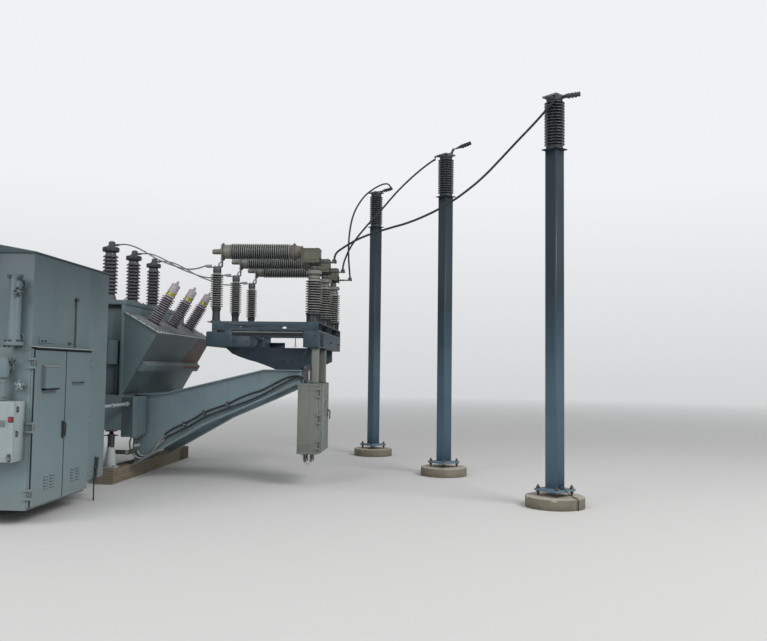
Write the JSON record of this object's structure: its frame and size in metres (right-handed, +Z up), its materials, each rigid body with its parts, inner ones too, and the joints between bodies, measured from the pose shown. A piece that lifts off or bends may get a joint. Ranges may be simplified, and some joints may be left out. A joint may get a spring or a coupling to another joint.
{
  "type": "substation switchgear bay with transportable transformer, circuit switcher and column row",
  "caption": "Outdoor high-voltage switchgear bay: transformer on a gooseneck base with circuit switcher, control enclosure and square columns with post insulators.",
  "frame": {"origin": "on the ground under the middle column's pier", "axes": "+X along the transformer towards the columns, +Y away from the front side, +Z up"},
  "size_m": [8.7233, 7.5531, 4.922],
  "materials": {
    "concrete": "weathered concrete",
    "column_paint": "weathered blue-grey paint",
    "enclosure_paint": "weathered grey paint",
    "tank_paint": "weathered grey paint with stains",
    "beam_paint": "weathered blue-grey paint",
    "frame_paint": "dark blue-grey paint",
    "cabinet_paint": "weathered warm grey paint",
    "light_paint": "light grey paint",
    "galvanised": "dull galvanised steel",
    "dark_steel": "dark weathered steel",
    "bolt_steel": "rusting galvanised steel",
    "grey_porcelain": "glazed grey porcelain",
    "light_porcelain": "glazed light grey porcelain",
    "brown_porcelain": "glazed grey-brown porcelain",
    "bare_conductor": "dark weathered conductor",
    "lead_conductor": "dull aluminium conductor",
    "cable_jacket": "black cable jacket",
    "head_paint": "weathered olive-grey paint",
    "timber": "weathered sawn timber"
  },
  "bodies": {
    "bay": {"concrete_piers": "concrete", "column_tubes": "column_paint", "column_base_plates": "column_paint", "anchor_bolts": "bolt_steel", "column_cap_plates": "column_paint", "column_insulators": "grey_porcelain", "line_plates": "galvanised", "strain_clamps": "dark_steel", "jumper_1": "bare_conductor", "jumper_2": "bare_conductor", "jumper_3": "bare_conductor", "enclosure_body": "enclosure_paint", "enclosure_upper_bay": "enclosure_paint", "enclosure_side_bay": "enclosure_paint", "enclosure_roof": "enclosure_paint", "enclosure_skids": "dark_steel", "enclosure_pipework": "enclosure_paint", "control_cabinet": "enclosure_paint", "drip_edge": "light_paint", "relay_box": "light_paint", "deck_sills": "tank_paint", "deck_cross_members": "tank_paint", "deck_plate": "tank_paint", "transformer_tank": "tank_paint", "tank_stiffeners": "tank_paint", "tank_cover": "tank_paint", "bushing_nose": "tank_paint", "nose_channel": "tank_paint", "inclined_bushings": "brown_porcelain", "bushing_caps": "light_paint", "surge_arresters": "brown_porcelain", "lead_1": "lead_conductor", "lead_2": "lead_conductor", "lead_3": "lead_conductor", "gooseneck_beams": "beam_paint", "neck_spreader": "beam_paint", "saddle_plates": "frame_paint", "junction_box": "tank_paint", "conduits": "galvanised", "beam_cables": "cable_jacket", "jacks": "light_paint", "cribbing": "timber", "frame_cross_boxes": "frame_paint", "frame_rails": "frame_paint", "post_beams": "frame_paint", "slim_posts": "light_porcelain", "thick_posts": "light_porcelain", "post_fittings": "dark_steel", "interrupters": "light_porcelain", "interrupter_flanges": "galvanised", "head_boxes": "head_paint", "switcher_terminals": "galvanised", "hanging_cabinet": "cabinet_paint", "hanger_posts": "cabinet_paint", "frame_stubs": "frame_paint", "ground_leads": "dark_steel"},
    "door_left": {"control_door_left": "enclosure_paint"},
    "door_right": {"control_door_right": "enclosure_paint"},
    "relay_door": {"relay_box_door": "light_paint"},
    "hanging_door": {"hanging_cabinet_door": "cabinet_paint"}
  },
  "joints": [
    {"name": "left_door_hinge", "type": "hinge", "parent": "bay", "child": "door_left", "pos_m": [-4.049, -4.428, 0.9], "axis": [0, 0, -1], "range_deg": [0, 115]},
    {"name": "right_door_hinge", "type": "hinge", "parent": "bay", "child": "door_right", "pos_m": [-4.049, -3.122, 0.9], "axis": [0, 0, 1], "range_deg": [0, 115]},
    {"name": "relay_door_hinge", "type": "hinge", "parent": "bay", "child": "relay_door", "pos_m": [-4.607, -4.625, 0.9], "axis": [0, 0, -1], "range_deg": [0, 110]},
    {"name": "hanging_door_hinge", "type": "hinge", "parent": "bay", "child": "hanging_door", "pos_m": [-1.651, -1.508, 0.9], "axis": [0, 0, -1], "range_deg": [0, 115]}
  ]
}
